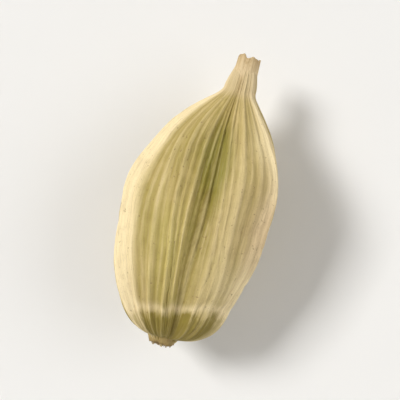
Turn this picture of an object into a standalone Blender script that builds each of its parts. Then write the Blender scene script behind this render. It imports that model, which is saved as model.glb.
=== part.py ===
"""A dried green cardamom pod, lying on its side.

Run it with: blender --background --python part.py

The pod is a capsule that grew as one piece: a three-sided, seed-filled body that is drawn out into a
cut stalk stub at one end and a short dry beak at the other. It is one closed solid, made from a UV
sphere whose rows and columns are moved by the formulas below. Metres, +Z up, +Y along the pod towards
its beak. The origin is at the bottom centre of its box.
"""

import math

import bmesh
import bpy
from mathutils import Matrix, Vector

# Lengths along the pod's axis.
BODY_LENGTH = 0.0141
BEAK_LENGTH = 0.0018
STALK_LENGTH = 0.0004

# Mean radii: the body's at its widest, and those of the drawn-out ends.
BODY_RADIUS = 0.00381
BEAK_ROOT_RADIUS = 0.00084
BEAK_TIP_RADIUS = 0.00052
STALK_ROOT_RADIUS = 0.00080
STALK_CUT_RADIUS = 0.00062

# How the body narrows towards each end: 0.5 is an ellipse's curve, and more is more pointed.
BEAK_END_POINT = 0.83
STALK_END_POINT = 0.37
# How softly the body runs into the beak and the stalk. Less is a longer fillet.
FILLET_POWER = 2.0
# The length over which the beak's tip and the stalk's cut end close.
TIP_ROUNDING = 0.00050
CUT_ROUNDING = 0.00030

# The section is a rounded triangle with one flat side up and one blunt corner down.
CORNERS = [math.radians(a) for a in (30.0, 150.0, 270.0)]
SIDES = [math.radians(a) for a in (84.0, 210.0, 330.0)]
THREE_SIDED = 0.080
# The pod twists a little from its stalk to its beak.
TWIST = math.radians(19.0)

# Each corner carries a raised seam, and the middle of each side is drawn in along a furrow.
SEAM_HEIGHT = 0.00020
SEAM_WIDTH = math.radians(7.0)
FURROW_DEPTHS = (0.00046, 0.00030, 0.00036)
FURROW_WIDTH = math.radians(13.0)

# Lengthwise ribs, one for each fourth column of the sphere. Some stand higher than others.
RIBS = 27
COLUMNS_PER_RIB = 4
ROWS = 44
RIB_HEIGHT = 0.000060
RIB_VARIETY = 0.45
RIB_WANDER = math.radians(1.9)
# Near the ends a rib stands out by this share of the radius.
RIB_SHARE = 0.022

# How far the seeds press out on the dried wall, or leave it sunken between them.
SEED_SWELL = 0.00012

# The corners, furrows and swells are at their full size where the mean radius is this or more.
FULL_RADIUS = 0.75 * BODY_RADIUS

# The pod's axis is bowed. From the bend's middle both ends turn off to the same side by this much, one a
# little up and the other a little down. Places and reaches are in half-lengths of the body.
BEND_MIDDLE = -0.65
BEAK_BEND = Vector((0.00090, 0.0, 0.00020))
BEAK_REACH = 1.80
STALK_BEND = Vector((0.00055, 0.0, -0.00010))
STALK_REACH = 0.85

# The lowest seam is worn flat where the pod rests, this far under the axis.
REST_DEPTH = 0.00400

POD_COLOUR = (0.50, 0.40, 0.16, 1.0)
POD_ROUGHNESS = 0.62

HALF_BODY = BODY_LENGTH / 2
BEAK_END = HALF_BODY + BEAK_LENGTH
STALK_END = -HALF_BODY - STALK_LENGTH


def clear_scene():
    for obj in list(bpy.data.objects):
        bpy.data.objects.remove(obj, do_unlink=True)


def husk_material():
    """The dry papery wall: straw with a green cast, and no shine."""
    material = bpy.data.materials.new("dry_green_husk")
    material.use_nodes = True
    shader = material.node_tree.nodes["Principled BSDF"]
    shader.inputs["Base Color"].default_value = POD_COLOUR
    shader.inputs["Roughness"].default_value = POD_ROUGHNESS
    shader.inputs["Metallic"].default_value = 0.0
    material.diffuse_color = POD_COLOUR
    return material


def smooth_step(x):
    x = min(1.0, max(0.0, x))
    return x * x * (3.0 - 2.0 * x)


def hump(angle, centre, width):
    """1 where angle is at centre, falling to nothing a few widths away, round the circle."""
    apart = math.remainder(angle - centre, math.tau)
    return math.exp(-((apart / width) ** 2))


def wave(angle, y, turns, along, phase):
    """A smooth ripple that repeats this many turns round the pod and drifts along it."""
    return math.sin(turns * angle + along * y / HALF_BODY + phase)


def body_radius(y):
    """The mean radius of the seed-filled body, blunter at the stalk than at the beak."""
    s = y / HALF_BODY
    if abs(s) >= 1.0:
        return 0.0
    point = (BEAK_END_POINT + STALK_END_POINT) / 2 + s * (BEAK_END_POINT - STALK_END_POINT) / 2
    return BODY_RADIUS * (1.0 - s * s) ** point


def end_radius(y):
    """The radius of the beak, or of the stalk stub, closed at its own end."""
    if y > 0.0:
        root, end, length, rounding = BEAK_ROOT_RADIUS, BEAK_TIP_RADIUS, BEAK_LENGTH, TIP_ROUNDING
        beyond_body, left = y - HALF_BODY, BEAK_END - y
    else:
        root, end, length, rounding = STALK_ROOT_RADIUS, STALK_CUT_RADIUS, STALK_LENGTH, CUT_ROUNDING
        beyond_body, left = -HALF_BODY - y, y - STALK_END
    closed_share = 1.0 - min(1.0, max(0.0, left / rounding))
    return (root + (end - root) * smooth_step(beyond_body / length)) * math.sqrt(1.0 - closed_share**3)


def mean_radius(y):
    """The body and its drawn-out ends, run together."""
    return (body_radius(y) ** FILLET_POWER + end_radius(y) ** FILLET_POWER) ** (1 / FILLET_POWER)


def rib_height(angle, y):
    """The wall's rise at a rib, or its fall between two."""
    strength = 1.0 + RIB_VARIETY * wave(angle, y, turns=4, along=1.9, phase=0.7)
    height = strength * min(RIB_HEIGHT, RIB_SHARE * mean_radius(y))
    return height * math.cos(RIBS * (angle - CORNERS[0]))


def seed_swell(angle, y):
    """Low lumps over the packed seeds, three rows of them, and no two alike."""
    rows = wave(angle, y, turns=1, along=9.5, phase=0.6) * wave(angle, y, turns=3, along=0.0, phase=2.5)
    return SEED_SWELL * (0.6 * rows + 0.4 * wave(angle, y, turns=-2, along=5.2, phase=0.8))


def rib_wander(angle, y):
    """How far a rib strays sideways, so that the ribs are unevenly spaced and not quite straight."""
    stray = wave(angle, y, turns=5, along=1.1, phase=1.3) + wave(angle, y, turns=8, along=-2.1, phase=0.4)
    return RIB_WANDER * (stray + 0.5 * wave(angle, y, turns=3, along=2.9, phase=0.0))


def wall_radius(angle, y):
    """The distance from the pod's axis to its wall."""
    full = smooth_step(mean_radius(y) / FULL_RADIUS)
    radius = mean_radius(y) * (1.0 + THREE_SIDED * full * math.cos(3.0 * (angle - CORNERS[0])))
    for corner in CORNERS:
        radius += full * SEAM_HEIGHT * hump(angle, corner, SEAM_WIDTH)
    for side, depth in zip(SIDES, FURROW_DEPTHS):
        radius -= full * depth * hump(angle, side, FURROW_WIDTH)
    return radius + full * seed_swell(angle, y) + rib_height(angle, y)


def axis_point(y):
    """The middle of the pod's section at y along it."""
    s = y / HALF_BODY - BEND_MIDDLE
    bend, reach = (BEAK_BEND, BEAK_REACH) if s > 0.0 else (STALK_BEND, STALK_REACH)
    return Vector((0.0, y, 0.0)) + bend * smooth_step(abs(s) / reach)


def wall_point(polar, angle):
    """Where the sphere's vertex goes that is at this polar angle from the beak, and this angle round."""
    middle = (BEAK_END + STALK_END) / 2
    y = middle + (BEAK_END - STALK_END) / 2 * math.cos(polar)
    turned = angle + TWIST * y / HALF_BODY + rib_wander(angle, y) * math.sin(polar)
    point = axis_point(y) + wall_radius(angle, y) * Vector((math.cos(turned), 0.0, math.sin(turned)))
    point.z = max(point.z, -REST_DEPTH)
    return point


def make_pod():
    """The pod's one solid: a UV sphere with its poles on the axis, each vertex moved out to the wall."""
    mesh = bpy.data.meshes.new("cardamom_pod")
    bm = bmesh.new()
    poles_along_y = Matrix.Rotation(math.radians(-90.0), 4, "X")
    bmesh.ops.create_uvsphere(
        bm, u_segments=RIBS * COLUMNS_PER_RIB, v_segments=ROWS, radius=1.0, matrix=poles_along_y
    )
    for vertex in bm.verts:
        x, y, z = vertex.co
        vertex.co = wall_point(math.acos(max(-1.0, min(1.0, y))), math.atan2(z, x))
    bmesh.ops.recalc_face_normals(bm, faces=bm.faces)
    low = Vector(min(v.co[i] for v in bm.verts) for i in range(3))
    high = Vector(max(v.co[i] for v in bm.verts) for i in range(3))
    bottom_centre = Vector(((low.x + high.x) / 2, (low.y + high.y) / 2, low.z))
    bmesh.ops.translate(bm, verts=bm.verts, vec=-bottom_centre)
    bm.to_mesh(mesh)
    bm.free()
    mesh.shade_smooth()
    mesh.materials.append(husk_material())
    return bpy.data.objects.new("cardamom_pod", mesh)


clear_scene()
pod_collection = bpy.data.collections.new("green cardamom pod")
bpy.context.scene.collection.children.link(pod_collection)
pod_collection.objects.link(make_pod())
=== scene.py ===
"""The looks of a dried green cardamom pod, lying on a pale floor under soft studio light."""

import math
import random

import bmesh
import bpy
import numpy as np
from mathutils import Matrix, Vector, noise


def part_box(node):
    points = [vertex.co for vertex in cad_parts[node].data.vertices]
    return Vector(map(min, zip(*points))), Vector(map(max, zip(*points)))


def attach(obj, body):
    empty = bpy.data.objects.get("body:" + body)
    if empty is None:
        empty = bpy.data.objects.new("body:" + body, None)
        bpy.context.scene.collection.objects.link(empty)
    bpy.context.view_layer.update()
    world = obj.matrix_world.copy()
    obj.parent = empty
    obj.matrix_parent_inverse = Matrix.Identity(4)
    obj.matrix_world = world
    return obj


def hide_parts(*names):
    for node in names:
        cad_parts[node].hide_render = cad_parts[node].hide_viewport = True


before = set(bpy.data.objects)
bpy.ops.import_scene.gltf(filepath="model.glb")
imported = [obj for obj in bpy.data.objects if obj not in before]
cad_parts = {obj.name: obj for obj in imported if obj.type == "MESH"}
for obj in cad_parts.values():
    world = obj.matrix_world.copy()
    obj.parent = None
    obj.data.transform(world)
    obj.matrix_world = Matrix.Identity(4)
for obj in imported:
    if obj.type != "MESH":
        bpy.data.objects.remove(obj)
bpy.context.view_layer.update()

# Camera
# The photographed pod has one of its sides square to the viewer, and here the pod lies with that side up.
# So the camera looks straight down on it, and is turned so that the pod leans to the right, beak up.
pod_low, pod_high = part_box("cardamom_pod")
pod_length = pod_high.y - pod_low.y
LEAN = math.radians(15.0)
FRAME_FILL = 0.74
LENS_MM = 100.0
SENSOR_MM = 36.0
CLIP_START = 0.001
view_height = pod_length / FRAME_FILL
camera_distance = view_height / 2 / (SENSOR_MM / 2 / LENS_MM)
camera_data = bpy.data.cameras.new("camera")
camera_data.lens = LENS_MM
camera_data.sensor_width = SENSOR_MM
camera_data.clip_start = CLIP_START
camera = bpy.data.objects.new("camera", camera_data)
camera.location = (0.0, 0.0, pod_high.z / 2 + camera_distance)
camera.rotation_euler = (0.0, 0.0, LEAN)
bpy.context.scene.collection.objects.link(camera)
bpy.context.scene.camera = camera

# Husk
# The capsule's dry wall, drawn tight over three rows of seeds: straw-coloured papery plant skin with a
# green cast, ribbed lengthwise. It grew in one piece with its stalk stub and its beak, so it is one mesh,
# made from a sphere whose rows and columns are moved by formulas, the solid's own with finer relief on top.
BODY_LENGTH = 0.0141
BEAK_LENGTH = 0.0018
STALK_LENGTH = 0.0004
BODY_RADIUS = 0.00381
BEAK_ROOT_RADIUS = 0.00084
BEAK_TIP_RADIUS = 0.00052
STALK_ROOT_RADIUS = 0.00080
STALK_CUT_RADIUS = 0.00062
BEAK_END_POINT = 0.83
STALK_END_POINT = 0.37
FILLET_POWER = 2.0
TIP_ROUNDING = 0.00050
CUT_ROUNDING = 0.00030
CORNERS = [math.radians(a) for a in (30.0, 150.0, 270.0)]
SIDES = [math.radians(a) for a in (84.0, 210.0, 330.0)]
THREE_SIDED = 0.080
TWIST = math.radians(19.0)
SEAM_HEIGHT = 0.00020
SEAM_WIDTH = math.radians(7.0)
FURROW_DEPTHS = (0.00046, 0.00030, 0.00036)
FURROW_WIDTH = math.radians(13.0)
RIBS = 27
RIB_HEIGHT = 0.000060
RIB_VARIETY = 0.45
RIB_WANDER = math.radians(1.9)
RIB_SHARE = 0.022
SEED_SWELL = 0.00012
FULL_RADIUS = 0.75 * BODY_RADIUS
BEND_MIDDLE = -0.65
BEAK_BEND = np.array((0.00090, 0.0, 0.00020))
BEAK_REACH = 1.80
STALK_BEND = np.array((0.00055, 0.0, -0.00010))
STALK_REACH = 0.85
HALF_BODY = BODY_LENGTH / 2
BEAK_END = HALF_BODY + BEAK_LENGTH
STALK_END = -HALF_BODY - STALK_LENGTH

# The finer relief that only the husk's surface has. Here the ribs are narrow veins with wide valleys.
# Their rise and fall is in rib heights, and the other heights and depths are in metres.
COLUMNS_PER_RIB = 16
ROWS = 229
ROW_SAMPLES = 4001
RIB_NARROWNESS = 3
VEIN_NARROWNESS = 4
RIB_RISE = 2.7
VEIN_RISE = 0.9
VEIN_VARIETY = 0.8
VALLEY_FALL = 0.9
RIB_PATCHINESS = 0.6
STRIAE_PER_RIB = 4
STRIA_DRIFT = 4.0
STRIA_HEIGHT = 0.000008
FIBRE_HEIGHT = 0.000014
GRAIN_AT_ENDS = 0.3
DENT_DEPTH = 0.000060
WRINKLE_HEIGHT = 0.000050
CREASE_DEPTH = 0.000035
CREASE_FROM = 0.7
CREASE_REACH = 0.3
CREPE_HEIGHT = 0.000034
CREPE_OFF_CRESTS = 0.7
# The fold across the upper side near the stalk: where it is, and its slant, width and stray, all in
# half-lengths of the body, and its depth. It fades out down both flanks.
FOLD_PLACE = -0.73
FOLD_SLANT = 0.08
FOLD_WIDTH = 0.035
FOLD_STRAY = 0.04
FOLD_DEPTH = 0.000035
FOLD_FADE = 2.0
# The thick pale rim along each corner: where its middle is and how far it reaches to both sides, in
# degrees, and how soft its edge is and how far it strays. A shallow groove follows the edges.
RIMS = {155.0: 18.0, 23.0: 15.0, 270.0: 15.0}
RIM_EDGE = math.radians(10.0)
RIM_STRAY = math.radians(4.0)
RIM_GROOVE = 0.000060
GROOVE_NARROWNESS = 4.0
# The line of painted shade in the bottom of each furrow, which is darkest near the middle of the pod.
LINE_WIDTH = math.radians(4.5)
LINE_STRAY = math.radians(3.0)
LINE_PLACE = -0.08
LINE_REACH = 0.50
# Tints of the upper side: where each is round the pod and along it, and how far it reaches both ways. The
# ones at
# 60, 38 and 48 degrees round the pod are painted light, paling the right side of the upper face.
TINTS = {
    "green_tint": (math.radians(82.0), 0.43, math.radians(15.0), 0.29),
    "right_face_light_tint": (math.radians(60.0), -0.10, math.radians(10.0), 0.52),
    "yellow_tint": (math.radians(107.0), -0.33, math.radians(17.0), 0.36),
    "pink_tint": (math.radians(28.0), -0.02, math.radians(16.0), 0.34),
    "right_rim_light_tint": (math.radians(38.0), 0.60, math.radians(10.0), 0.17),
    "lower_right_light_tint": (math.radians(48.0), -0.50, math.radians(20.0), 0.22),
}
# The patterns of the materials are in millimetres on the skin.
MILLIMETRES = 1000.0


def smooth_step(x):
    x = np.clip(x, 0.0, 1.0)
    return x * x * (3.0 - 2.0 * x)


def hump(angle, centre, width):
    """1 where angle is at centre, falling to nothing a few widths away, round the circle."""
    apart = np.remainder(angle - centre + math.pi, math.tau) - math.pi
    return np.exp(-((apart / width) ** 2))


def wave(angle, y, turns, along, phase):
    """A smooth ripple that repeats this many turns round the pod and drifts along it."""
    return np.sin(turns * angle + along * y / HALF_BODY + phase)


def body_radius(y):
    """The mean radius of the seed-filled body, blunter at the stalk than at the beak."""
    s = np.clip(y / HALF_BODY, -1.0, 1.0)
    point = (BEAK_END_POINT + STALK_END_POINT) / 2 + s * (BEAK_END_POINT - STALK_END_POINT) / 2
    return BODY_RADIUS * (1.0 - s * s) ** point


def drawn_out(beyond_body, left, root, end, length, rounding):
    """The radius of a drawn-out end, this far beyond the body and with this much left of it."""
    closed_share = 1.0 - np.clip(left / rounding, 0.0, 1.0)
    return (root + (end - root) * smooth_step(beyond_body / length)) * np.sqrt(1.0 - closed_share**3)


def mean_radius(y):
    """The body and its drawn-out ends, run together."""
    beak = drawn_out(
        y - HALF_BODY, BEAK_END - y, BEAK_ROOT_RADIUS, BEAK_TIP_RADIUS, BEAK_LENGTH, TIP_ROUNDING
    )
    stalk = drawn_out(
        -HALF_BODY - y, y - STALK_END, STALK_ROOT_RADIUS, STALK_CUT_RADIUS, STALK_LENGTH, CUT_ROUNDING
    )
    end = np.where(y > 0.0, beak, stalk)
    return (body_radius(y) ** FILLET_POWER + end**FILLET_POWER) ** (1 / FILLET_POWER)


def rib_crest(angle):
    """1 along the middle of each rib and 0 midway between two, with narrow crests and wide valleys."""
    return (0.5 + 0.5 * np.cos(RIBS * (angle - CORNERS[0]))) ** RIB_NARROWNESS


def vein_crest(angle):
    """1 along the fainter vein that lies midway between two ribs."""
    return (0.5 - 0.5 * np.cos(RIBS * (angle - CORNERS[0]))) ** VEIN_NARROWNESS


def rib_height(angle, y, uneven):
    """The wall's rise at a rib or a vein, or its fall between two, more where uneven is more."""
    strength = 1.0 + RIB_VARIETY * wave(angle, y, turns=4, along=1.9, phase=0.7) + RIB_PATCHINESS * uneven
    vein_rise = VEIN_RISE - VEIN_VARIETY * uneven
    relief = RIB_RISE * rib_crest(angle) + vein_rise * vein_crest(angle) - VALLEY_FALL
    return strength * np.minimum(RIB_HEIGHT, RIB_SHARE * mean_radius(y)) * relief


def seed_swell(angle, y):
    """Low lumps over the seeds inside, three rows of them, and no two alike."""
    rows = wave(angle, y, turns=1, along=9.5, phase=0.6) * wave(angle, y, turns=3, along=0.0, phase=2.5)
    return SEED_SWELL * (0.6 * rows + 0.4 * wave(angle, y, turns=-2, along=5.2, phase=0.8))


def rib_wander(angle, y):
    """How far a rib strays sideways, so that the ribs are unevenly spaced and not quite straight."""
    stray = wave(angle, y, turns=5, along=1.1, phase=1.3) + wave(angle, y, turns=8, along=-2.1, phase=0.4)
    return RIB_WANDER * (stray + 0.5 * wave(angle, y, turns=3, along=2.9, phase=0.0))


def skin_place(angle, y):
    """Where a point lies on the skin as if it were a plain tube, so that patterns follow the ribs."""
    return np.stack([BODY_RADIUS * np.cos(angle), y, BODY_RADIUS * np.sin(angle)], axis=-1)


def skin_noise(place, across, along, seed):
    """Smooth noise from -1 to 1 on the skin, in patches this wide and this long, in metres."""
    scale = np.array((1.0 / across, 1.0 / along, 1.0 / across))
    return np.array([noise.noise(Vector(point)) for point in place * scale + seed])


def axis_point(y):
    """The middle of the pod's section at y along its bowed axis."""
    y = np.asarray(y, float)
    s = (y / HALF_BODY - BEND_MIDDLE)[..., None]
    to_beak = BEAK_BEND * smooth_step(s / BEAK_REACH)
    to_stalk = STALK_BEND * smooth_step(-s / STALK_REACH)
    return np.stack([0.0 * y, y, 0.0 * y], axis=-1) + to_beak + to_stalk


# The solid's furthest vertex is the tip of its beak, and its place gives the shift into the frame.
beak_tip = max((vertex.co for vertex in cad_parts["cardamom_pod"].data.vertices), key=lambda co: co.y)
into_frame = np.array(beak_tip) - axis_point(BEAK_END)


def place_round_axis(radius, angle, y):
    """Points in the frame: this far from the pod's axis, at this angle round it and this far along it."""
    across = np.stack([np.cos(angle), 0.0 * angle, np.sin(angle)], axis=-1)
    return axis_point(y) + np.asarray(radius)[..., None] * across + into_frame


def row_places(share):
    """How far along the axis each row is, at this share of the way over the wall from beak to stalk."""
    y = np.linspace(BEAK_END, STALK_END, ROW_SAMPLES)
    way = np.concatenate([[0.0], np.cumsum(np.hypot(np.diff(y), np.diff(mean_radius(y))))])
    return np.interp(share, way / way[-1], y)


def make_husk():
    """The whole husk as one mesh, with what its material needs to know at each of its points."""
    mesh = bpy.data.meshes.new("cardamom_husk")
    bm = bmesh.new()
    poles_along_y = Matrix.Rotation(math.radians(-90.0), 4, "X")
    bmesh.ops.create_uvsphere(
        bm, u_segments=RIBS * COLUMNS_PER_RIB, v_segments=ROWS, radius=1.0, matrix=poles_along_y
    )
    bmesh.ops.recalc_face_normals(bm, faces=bm.faces)
    bm.to_mesh(mesh)
    bm.free()
    unit = np.empty(len(mesh.vertices) * 3)
    mesh.vertices.foreach_get("co", unit)
    unit = unit.reshape(-1, 3)
    angle = np.arctan2(unit[:, 2], unit[:, 0])
    y = row_places(np.arccos(np.clip(unit[:, 1], -1.0, 1.0)) / math.pi)

    s = y / HALF_BODY
    full = smooth_step(mean_radius(y) / FULL_RADIUS)
    seam = sum(hump(angle, corner, SEAM_WIDTH) for corner in CORNERS)
    furrows = [hump(angle, side, FURROW_WIDTH) for side in SIDES]
    crest = rib_crest(angle)
    place = skin_place(angle, y)
    uneven = skin_noise(place, across=0.0016, along=0.0060, seed=1.7)
    dents = skin_noise(place, across=0.0016, along=0.0023, seed=4.4)
    wrinkles = skin_noise(place, across=0.0010, along=0.0040, seed=3.1)
    creases = 1.0 - 2.0 * np.abs(skin_noise(place, across=0.0007, along=0.0026, seed=6.2))
    crepe = skin_noise(place, across=0.0006, along=0.00038, seed=8.7)
    drift = STRIA_DRIFT * skin_noise(place, across=0.002, along=0.004, seed=5.3)
    striae = np.cos(STRIAE_PER_RIB * RIBS * angle + drift)
    fibres = skin_noise(place, across=0.00020, along=0.0016, seed=9.5)
    rim = np.zeros_like(s)
    groove = np.zeros_like(s)
    for middle, reach in RIMS.items():
        apart = np.remainder(angle - math.radians(middle) + math.pi, math.tau) - math.pi
        outside = (np.abs(apart + RIM_STRAY * wrinkles) - math.radians(reach)) / RIM_EDGE
        rim += 1.0 - smooth_step(outside + 0.5)
        groove += np.exp(-((outside - 0.5) ** 2) * GROOVE_NARROWNESS)
    slanted = s - FOLD_SLANT * np.cos(angle)
    fold = np.exp(-(((slanted - FOLD_PLACE - FOLD_STRAY * wrinkles) / FOLD_WIDTH) ** 2))
    fold *= smooth_step(np.sin(angle) * FOLD_FADE)

    radius = mean_radius(y) * (1.0 + THREE_SIDED * full * np.cos(3.0 * (angle - CORNERS[0])))
    radius += full * SEAM_HEIGHT * seam
    radius -= full * sum(depth * furrow for depth, furrow in zip(FURROW_DEPTHS, furrows))
    radius += full * seed_swell(angle, y) + rib_height(angle, y, uneven)
    radius += full * (DENT_DEPTH * dents + WRINKLE_HEIGHT * wrinkles - FOLD_DEPTH * fold)
    sharp_creases = smooth_step((creases - CREASE_FROM) / CREASE_REACH)
    radius -= full * (CREASE_DEPTH * sharp_creases + RIM_GROOVE * groove)
    radius += full * CREPE_HEIGHT * crepe * (1.0 - CREPE_OFF_CRESTS * crest)
    grain = GRAIN_AT_ENDS + (1.0 - GRAIN_AT_ENDS) * full
    radius += grain * (STRIA_HEIGHT * striae + FIBRE_HEIGHT * fibres)

    from_middle = (y - (BEAK_END + STALK_END) / 2) / ((BEAK_END - STALK_END) / 2)
    from_poles = np.sqrt(np.clip(1.0 - from_middle**2, 0.0, 1.0))
    turned = angle + TWIST * s + rib_wander(angle, y) * from_poles
    points = place_round_axis(radius, turned, y)
    points[:, 2] = np.maximum(points[:, 2], pod_low.z)
    mesh.vertices.foreach_set("co", points.ravel())

    line = sum(hump(angle + LINE_STRAY * wrinkles, side, LINE_WIDTH) for side in SIDES)
    marks = {
        "rib_crest": crest,
        "vein_crest": vein_crest(angle),
        "furrow": sum(furrows) * full,
        "furrow_shade_line": line * full * np.exp(-(((s - LINE_PLACE) / LINE_REACH) ** 2)),
        "fullness": full,
        "rim": rim,
        "groove": groove * full,
        "fold": fold,
        "slanted": slanted,
        "along": s,
    }
    for name, (round_at, along_at, round_reach, along_reach) in TINTS.items():
        marks[name] = hump(angle, round_at, round_reach) * np.exp(-(((s - along_at) / along_reach) ** 2))
    for name, values in marks.items():
        mesh.attributes.new(name, "FLOAT", "POINT").data.foreach_set("value", values.astype(np.float32))
    mesh.attributes.new("skin_place", "FLOAT_VECTOR", "POINT").data.foreach_set(
        "vector", (MILLIMETRES * place).astype(np.float32).ravel()
    )
    mesh.shade_smooth()
    husk = bpy.data.objects.new("cardamom_husk", mesh)
    bpy.context.scene.collection.objects.link(husk)
    return husk


class Paint:
    """A socket of a material's nodes. Sums on it add Math nodes, and node() adds any other node."""

    def __init__(self, tree, socket=None):
        self.tree = tree
        self.socket = socket

    def node(self, kind, settings, inputs, output=0):
        """Adds a node of this kind, with its settings made first and then its sockets' values or links."""
        new = self.tree.nodes.new(kind)
        for name, setting in settings.items():
            setattr(new, name, setting)
        for name, value in inputs.items():
            if isinstance(value, Paint):
                self.tree.links.new(value.socket, new.inputs[name])
            else:
                new.inputs[name].default_value = value
        return Paint(self.tree, new.outputs[output])

    def math(self, operation, *values):
        return self.node("ShaderNodeMath", {"operation": operation}, dict(enumerate(values)))

    def __add__(self, other):
        return self.math("ADD", self, other)

    def __sub__(self, other):
        return self.math("SUBTRACT", self, other)

    def __rsub__(self, other):
        return self.math("SUBTRACT", other, self)

    def __mul__(self, other):
        return self.math("MULTIPLY", self, other)

    __radd__ = __add__
    __rmul__ = __mul__

    def clamped(self):
        return self.node("ShaderNodeClamp", {}, {"Value": self})

    def step(self, low, high):
        """0 below low and 1 above high, smooth between."""
        inputs = {"Value": self, "From Min": low, "From Max": high}
        return self.node("ShaderNodeMapRange", {"interpolation_type": "SMOOTHSTEP"}, inputs)

    def mixed(self, one, other):
        """The one colour where this is 0, and the other where it is 1."""
        inputs = {"Factor": self, 6: one, 7: other}
        return self.node("ShaderNodeMix", {"data_type": "RGBA"}, inputs, output=2)

    def mark(self, name, output="Fac"):
        """What the mesh says about each of its points under this name."""
        return self.node("ShaderNodeAttribute", {"attribute_name": name}, {}, output)

    def stretched(self, across, along):
        """This place, so that noise of scale 1 on it has grains this wide and this long."""
        scale = (1.0 / across, 1.0 / along, 1.0 / across)
        return self.node("ShaderNodeVectorMath", {"operation": "MULTIPLY"}, {0: self, 1: scale})

    def grain(self, across, along, detail=3.0, seed=0.0):
        """Noise from about 0.25 to 0.75 on this place, with grains this wide and this long."""
        inputs = {"Vector": self.stretched(across, along), "Scale": 1.0, "Detail": detail, "W": seed}
        return self.node("ShaderNodeTexNoise", {"noise_dimensions": "4D"}, inputs)


def new_material(name):
    """A material and its Principled shader, with nothing linked to it yet."""
    material = bpy.data.materials.new(name)
    material.use_nodes = True
    return material, material.node_tree.nodes["Principled BSDF"]


STRAW = (0.600, 0.455, 0.180, 1.0)
PALE_STRAW = (0.740, 0.590, 0.290, 1.0)
ROSY_STRAW = (0.700, 0.510, 0.290, 1.0)
YELLOW_GREEN = (0.640, 0.545, 0.150, 1.0)
OLIVE = (0.335, 0.265, 0.043, 1.0)
PAINTED_SHADE_OLIVE = (0.190, 0.140, 0.018, 1.0)
LEAF_GREEN = (0.215, 0.210, 0.018, 1.0)
PALE_RIM = (0.920, 0.760, 0.450, 1.0)
RIGHT_SIDE_LIGHT_STRAW = (0.940, 0.785, 0.460, 1.0)
DRY_BROWN = (0.235, 0.140, 0.058, 1.0)
BEAK_TAN = (0.720, 0.570, 0.340, 1.0)
SCAR_BROWN = (0.200, 0.120, 0.045, 1.0)
# Where the skin changes near its ends, and where the painted shade over the stalk end begins: from one place
# along the pod to another, in half-lengths of its body, and for the beak from one fullness to another.
STALK_SHADE_EDGE = (-0.70, -0.53)
STALK_SCAR_EDGE = (-1.045, -1.020)
BEAK_SCAR_EDGE = (1.19, 1.22)
BEAK_HALF = (0.0, 0.5)
BEAK_FULLNESS = (0.08, 0.45)
HUSK_BUMP = {"Strength": 0.8, "Distance": 0.00004}
HUSK_SPECULAR = 0.25


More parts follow.
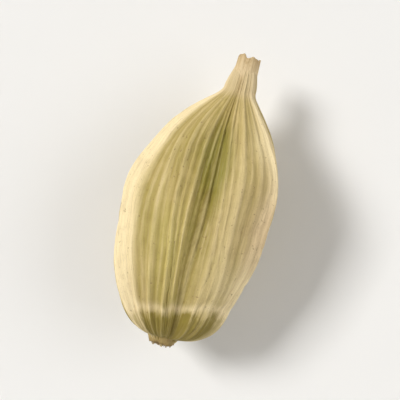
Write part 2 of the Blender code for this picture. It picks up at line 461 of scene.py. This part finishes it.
def husk_material():
    """Papery skin: straw on the ribs and rims, olive in the furrows, brown at the ends, with painted shade in
    the valleys, rim grooves, furrow lines and over the stalk end, and painted light on the fold and the right
    side.
    """
    material, shader = new_material("dry_green_husk")
    paint = Paint(material.node_tree)
    place = paint.mark("skin_place", "Vector")
    crest = paint.mark("rib_crest")
    vein = paint.mark("vein_crest")
    along = paint.mark("along")

    patches = place.grain(2.0, 4.0, seed=1.0).step(0.38, 0.64)
    streaks = place.grain(0.14, 3.0, detail=4.0, seed=2.0)
    fibres = place.grain(0.045, 1.0, detail=2.0, seed=3.0)
    mottle = place.grain(0.40, 0.55, seed=10.0).step(0.38, 0.62)
    blotches = place.grain(0.8, 1.2, seed=4.0).step(0.56, 0.72)
    specks = place.grain(0.14, 0.20, detail=1.0, seed=5.0).step(0.68, 0.74)
    grains = place.grain(0.09, 0.09, seed=6.0)

    # Each cover says how much of its colour, from 0 to 1, goes over the colours before it.
    # Painted shade: the lower end, by the stalk, is darker from a slanted edge along the fold to the end.
    stalk_end_shade = 1.0 - (paint.mark("slanted") + streaks * 0.30 + mottle * 0.08).step(*STALK_SHADE_EDGE)
    rim = paint.mark("rim") * (1.0 - stalk_end_shade * 0.30)
    # Olive: the husk's own green in patches, mottle and furrows, with painted shade added over the stalk end,
    # and less on the rims.
    green = 0.20 + patches * 0.35 + paint.mark("furrow") * 0.40 + stalk_end_shade * 0.85 + mottle * 0.15 - rim * 0.7
    yellow = paint.mark("yellow_tint") * (0.4 + streaks * 0.7)
    # Painted light: paler over the right side of the upper face, along the middle of the pod.
    right_face_light = paint.mark("right_face_light_tint") * (0.4 + streaks * 0.6)
    leafy = (paint.mark("green_tint") * 1.7 + patches * 0.25 - 0.18).clamped()
    leafy = leafy * (0.50 + streaks.step(0.40, 0.60) * 0.50)
    streaked = streaks.step(0.46, 0.66) * 0.45
    # Painted shade: darker in the valleys between ribs, in the groove beside each rim, along the line in each
    # furrow and over the stalk end.
    valley = (1.0 - crest - vein * 0.7).clamped()
    shaded = paint.mark("furrow_shade_line") * (0.35 + mottle * 0.5) + valley * 0.18 + paint.mark("groove") * 0.14
    shaded = shaded + stalk_end_shade * (1.0 - rim) * 0.46
    # Pale: the corners' own paler rims and paler rib crests and veins, with a painted highlight along the
    # fold; less over the painted shade at the stalk end and on the green patches.
    pale = rim * (0.70 + streaks * 0.4) + crest * 0.24 + vein * 0.10 + paint.mark("fold") * 0.55
    pale = pale - stalk_end_shade * 0.30 - leafy * 0.20
    rosy = paint.mark("pink_tint") * (0.45 + streaks * 0.6)
    # Painted light: paler along the right rim towards the beak and over the lower right of the upper face.
    right_side_light = paint.mark("right_rim_light_tint") * 0.60 + paint.mark("lower_right_light_tint") * 0.40
    browned = fibres.step(0.40, 0.66) * 0.20 + grains.step(0.50, 0.70) * 0.10
    stained = blotches * 0.14 + specks * 0.50
    at_beak = (1.0 - paint.mark("fullness").step(*BEAK_FULLNESS)) * along.step(*BEAK_HALF)
    scars = 1.0 - along.step(*STALK_SCAR_EDGE) + along.step(*BEAK_SCAR_EDGE)
    scarred = scars * (0.55 + mottle * 0.3)

    colour = STRAW
    for cover, coat in (
        (green, OLIVE),
        (yellow, YELLOW_GREEN),
        (right_face_light, PALE_STRAW),
        (leafy, LEAF_GREEN),
        (streaked, PALE_STRAW),
        (shaded, PAINTED_SHADE_OLIVE),
        (pale, PALE_RIM),
        (rosy, ROSY_STRAW),
        (right_side_light, RIGHT_SIDE_LIGHT_STRAW),
        (browned, DRY_BROWN),
        (stained, DRY_BROWN),
        (at_beak * 0.85, BEAK_TAN),
        (scarred, SCAR_BROWN),
    ):
        colour = cover.clamped().mixed(colour, coat)

    relief = fibres * 0.6 + streaks * 0.6 + grains * 0.5 - specks * 0.3
    bump = paint.node("ShaderNodeBump", {}, {"Height": relief, **HUSK_BUMP})
    roughness = 0.66 - crest * 0.12 + mottle * 0.06
    for name, value in {"Base Color": colour, "Roughness": roughness, "Normal": bump}.items():
        material.node_tree.links.new(value.socket, shader.inputs[name])
    shader.inputs["Specular IOR Level"].default_value = HUSK_SPECULAR
    return material


husk = make_husk()
husk.data.materials.append(husk_material())
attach(husk, "root")
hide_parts("cardamom_pod")

# Stalk end
# The stub where the pod was picked from its stalk: a ring of dry skin torn off unevenly round a face of
# snapped plant fibres. The skin is the husk's own, and the fibres stand a little way out of the stub.
COLLAR_ROOT = STALK_END + 0.00045
COLLAR_RIM = STALK_END + 0.00004
COLLAR_RAGGED = 0.00010
COLLAR_COLOURS = ((0.430, 0.320, 0.120, 1.0), (0.190, 0.115, 0.040, 1.0))
SLEEVE_COLUMNS = 120
SLEEVE_ROWS = 14
SLEEVE_THICKNESS = 0.000045
# A sleeve's torn edge is partly chance and partly even lobes. Its pleats deepen towards that edge.
TEAR_WAVES = 3.0
TEAR_BY_CHANCE = 0.6
TEAR_IN_LOBES = 0.4
PLEAT_DEPTH = 0.04
FINE_PLEAT_DEPTH = 0.025
# A sleeve is about a fifth as wide as the pod, and so are the patterns on it.
SLEEVE_GIRTH = 0.2
SLEEVE_BUMP = {"Strength": 0.7, "Distance": 0.00003}
SLEEVE_SPECULAR = 0.3
FIBRES = 60
FIBRE_RADIUS = 0.000050
FIBRE_ROOT = 0.00016
FIBRE_LENGTHS = (0.00002, 0.00015)
FIBRE_SIDES = 8
FIBRE_LEAN = 0.25
FIBRE_TAPER = (0.45, 0.9)
FIBRES_REACH = 0.86 * STALK_CUT_RADIUS
FIBRE_COLOURS = ((0.520, 0.400, 0.190, 1.0), (0.250, 0.160, 0.065, 1.0))
GOLDEN_TURN = math.pi * (3.0 - math.sqrt(5.0))


def ragged_sleeve(name, root_y, rim_y, root_radius, rim_radius, ragged, lobes, seed):
    """A thin papery sleeve round the pod's axis, from its root on the husk to a torn, wavy rim."""
    across = np.linspace(0.0, math.tau, SLEEVE_COLUMNS, endpoint=False)
    along = np.linspace(0.0, 1.0, SLEEVE_ROWS)
    share, angle = np.meshgrid(along, across, indexing="ij")
    rounds = [Vector((TEAR_WAVES * math.cos(a), TEAR_WAVES * math.sin(a), seed)) for a in across]
    tear = TEAR_BY_CHANCE * np.array([noise.noise(point) for point in rounds])
    tear += TEAR_IN_LOBES * np.cos(lobes * across + seed)
    outward = 1.0 if rim_y > root_y else -1.0
    y = root_y + (rim_y + outward * ragged * tear - root_y) * share
    pleats = PLEAT_DEPTH * np.cos(lobes * angle + seed) + FINE_PLEAT_DEPTH * np.cos(3.0 * lobes * angle)
    radius = (root_radius + (rim_radius - root_radius) * share) * (1.0 + pleats * share)
    points = place_round_axis(radius.ravel(), angle.ravel(), y.ravel())

    mesh = bpy.data.meshes.new(name)
    bm = bmesh.new()
    points = points.reshape(SLEEVE_ROWS, SLEEVE_COLUMNS, 3)
    rings = [[bm.verts.new(point) for point in ring] for ring in points]
    for ring, next_ring in zip(rings, rings[1:]):
        for i in range(SLEEVE_COLUMNS):
            after = (i + 1) % SLEEVE_COLUMNS
            bm.faces.new((ring[i], ring[after], next_ring[after], next_ring[i]))
    bmesh.ops.recalc_face_normals(bm, faces=bm.faces)
    bm.to_mesh(mesh)
    bm.free()
    mesh.shade_smooth()
    mesh.attributes.new("towards_rim", "FLOAT", "POINT").data.foreach_set("value", share.ravel())
    place = MILLIMETRES * skin_place(angle.ravel(), y.ravel()) * (SLEEVE_GIRTH, 1.0, SLEEVE_GIRTH)
    mesh.attributes.new("skin_place", "FLOAT_VECTOR", "POINT").data.foreach_set("vector", place.ravel())
    sleeve = bpy.data.objects.new(name, mesh)
    bpy.context.scene.collection.objects.link(sleeve)
    thickness = sleeve.modifiers.new("thickness", "SOLIDIFY")
    thickness.thickness = SLEEVE_THICKNESS
    thickness.offset = 0.0
    return sleeve


def withered_material(name, colours):
    """Dry skin with veins along it, from its colour at the root to a browner torn rim."""
    material, shader = new_material(name)
    paint = Paint(material.node_tree)
    place = paint.mark("skin_place", "Vector")
    rim = paint.mark("towards_rim")
    veins = place.grain(0.05, 0.9, seed=7.0)
    spots = place.grain(0.20, 0.25, seed=8.0).step(0.52, 0.66)
    browned = (rim * rim * 0.55 + veins.step(0.40, 0.65) * 0.35 + spots * 0.25).clamped()
    colour = browned.mixed(*colours)
    relief = veins + spots * 0.3
    bump = paint.node("ShaderNodeBump", {}, {"Height": relief, **SLEEVE_BUMP})
    roughness = 0.78 - veins * 0.12
    for socket, value in {"Base Color": colour, "Roughness": roughness, "Normal": bump}.items():
        material.node_tree.links.new(value.socket, shader.inputs[socket])
    shader.inputs["Specular IOR Level"].default_value = SLEEVE_SPECULAR
    return material


def make_fibres():
    """The snapped fibres: thin pegs set like a sunflower's seeds, each standing out by its own length."""
    draw = random.Random(41)
    bm = bmesh.new()
    for i in range(FIBRES):
        out = FIBRES_REACH * math.sqrt((i + 0.5) / FIBRES)
        length = draw.uniform(*FIBRE_LENGTHS)
        foot = place_round_axis(np.array(out), np.array(i * GOLDEN_TURN), np.array(STALK_END + FIBRE_ROOT))
        lean_x = draw.uniform(-FIBRE_LEAN, FIBRE_LEAN)
        lean_z = draw.uniform(-FIBRE_LEAN, FIBRE_LEAN)
        lean = Vector((lean_x, -1.0, lean_z)).normalized()
        peg_length = FIBRE_ROOT + length
        turn = lean.to_track_quat("Z", "Y").to_matrix().to_4x4()
        middle = Matrix.Translation(Vector(foot) + lean * peg_length / 2)
        bmesh.ops.create_cone(
            bm,
            cap_ends=True,
            segments=FIBRE_SIDES,
            radius1=FIBRE_RADIUS,
            radius2=FIBRE_RADIUS * draw.uniform(*FIBRE_TAPER),
            depth=peg_length,
            matrix=middle @ turn,
        )
    mesh = bpy.data.meshes.new("stalk_fibres")
    bm.to_mesh(mesh)
    bm.free()
    mesh.shade_smooth()
    fibres = bpy.data.objects.new("stalk_fibres", mesh)
    bpy.context.scene.collection.objects.link(fibres)
    return fibres


def fibre_material():
    """Snapped fibre, straw and brown, in patches whose sizes are in metres."""
    material, shader = new_material("snapped_fibre")
    paint = Paint(material.node_tree)
    place = paint.node("ShaderNodeTexCoord", {}, {}, "Object")
    mottle = place.grain(0.00012, 0.00030, seed=9.0).step(0.35, 0.65)
    roughness = 0.85 - mottle * 0.15
    for socket, value in {"Base Color": mottle.mixed(*FIBRE_COLOURS), "Roughness": roughness}.items():
        material.node_tree.links.new(value.socket, shader.inputs[socket])
    return material


stalk_collar = ragged_sleeve(
    "stalk_collar",
    root_y=COLLAR_ROOT,
    rim_y=COLLAR_RIM,
    root_radius=1.02 * STALK_ROOT_RADIUS,
    rim_radius=1.10 * STALK_CUT_RADIUS,
    ragged=COLLAR_RAGGED,
    lobes=4,
    seed=2.3,
)
stalk_collar.data.materials.append(withered_material("torn_stalk_skin", COLLAR_COLOURS))
stalk_fibres = make_fibres()
stalk_fibres.data.materials.append(fibre_material())
for piece in (stalk_collar, stalk_fibres):
    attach(piece, "root")
    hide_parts("cardamom_pod")

# Beak tip
# What is left of the flower: its dried tube, shrunk on to the end of the beak as a pleated papery sleeve
# and torn off unevenly. It grew on the pod and is held all round by it.
SLEEVE_ROOT = BEAK_END - 0.00135
SLEEVE_RIM = BEAK_END + 0.00005
SLEEVE_RAGGED = 0.00022
SLEEVE_COLOURS = ((0.760, 0.600, 0.360, 1.0), (0.420, 0.280, 0.120, 1.0))

flower_remnant = ragged_sleeve(
    "flower_remnant",
    root_y=SLEEVE_ROOT,
    rim_y=SLEEVE_RIM,
    root_radius=0.98 * (BEAK_ROOT_RADIUS + BEAK_TIP_RADIUS) / 2,
    rim_radius=1.12 * BEAK_TIP_RADIUS,
    ragged=SLEEVE_RAGGED,
    lobes=5,
    seed=0.9,
)
flower_remnant.data.materials.append(withered_material("withered_flower", SLEEVE_COLOURS))
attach(flower_remnant, "root")
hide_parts("cardamom_pod")

# Studio
# A pale matt paper floor that curves up all round into a backdrop, a soft lamp at the upper left of the
# picture, a larger and weaker one at its right, and an even glow from the room.
FLOOR_RADIUS = 0.9
FLAT_RADIUS = 0.35
BACKDROP_HEIGHT = 0.5
FLOOR_RINGS = 24
FLOOR_SIDES = 96
FLOOR_WHITE = (0.86, 0.85, 0.83, 1.0)
FLOOR_ROUGHNESS = 0.9
ROOM_WHITE = (1.0, 0.98, 0.95, 1.0)
ROOM_GLOW = 0.22


def make_floor():
    """A round floor: a fan of rings, level out to FLAT_RADIUS and then rising to the backdrop's height."""
    mesh = bpy.data.meshes.new("studio_floor")
    bm = bmesh.new()
    bmesh.ops.create_circle(bm, cap_ends=True, cap_tris=True, segments=FLOOR_SIDES, radius=FLAT_RADIUS)
    edge = [e for e in bm.edges if e.is_boundary]
    for ring in range(1, FLOOR_RINGS + 1):
        share = ring / FLOOR_RINGS
        grown = bmesh.ops.extrude_edge_only(bm, edges=edge)["geom"]
        edge = [e for e in grown if isinstance(e, bmesh.types.BMEdge) and e.is_boundary]
        for vertex in {v for e in edge for v in e.verts}:
            out = Vector((vertex.co.x, vertex.co.y, 0.0)).normalized()
            vertex.co = out * (FLAT_RADIUS + (FLOOR_RADIUS - FLAT_RADIUS) * math.sin(share * math.pi / 2))
            vertex.co.z = BACKDROP_HEIGHT * (1.0 - math.cos(share * math.pi / 2))
    bmesh.ops.recalc_face_normals(bm, faces=bm.faces)
    bm.to_mesh(mesh)
    bm.free()
    mesh.shade_smooth()
    floor = bpy.data.objects.new("studio_floor", mesh)
    bpy.context.scene.collection.objects.link(floor)
    return floor


def floor_material():
    material, shader = new_material("pale_paper")
    shader.inputs["Base Color"].default_value = FLOOR_WHITE
    shader.inputs["Roughness"].default_value = FLOOR_ROUGHNESS
    return material


def add_lamp(name, towards, distance, size, power):
    """A square area lamp of this size, this far from the pod in a direction of the picture."""
    lamp_data = bpy.data.lights.new(name, "AREA")
    lamp_data.size = size
    lamp_data.energy = power
    lamp = bpy.data.objects.new(name, lamp_data)
    turned = Matrix.Rotation(LEAN, 3, "Z") @ Vector(towards).normalized()
    lamp.location = turned * distance
    lamp.rotation_euler = turned.to_track_quat("Z", "Y").to_euler()
    lamp.visible_camera = False
    bpy.context.scene.collection.objects.link(lamp)


floor = make_floor()
floor.data.materials.append(floor_material())
add_lamp("key", towards=(-0.78, 0.44, 0.95), distance=3.0, size=0.9, power=69.0)
add_lamp("fill", towards=(0.95, 0.10, 0.70), distance=3.0, size=2.6, power=38.0)
world = bpy.data.worlds.new("room")
world.use_nodes = True
glow = world.node_tree.nodes["Background"]
glow.inputs["Color"].default_value = ROOM_WHITE
glow.inputs["Strength"].default_value = ROOM_GLOW
bpy.context.scene.world = world
bpy.context.scene.view_settings.view_transform = "Standard"
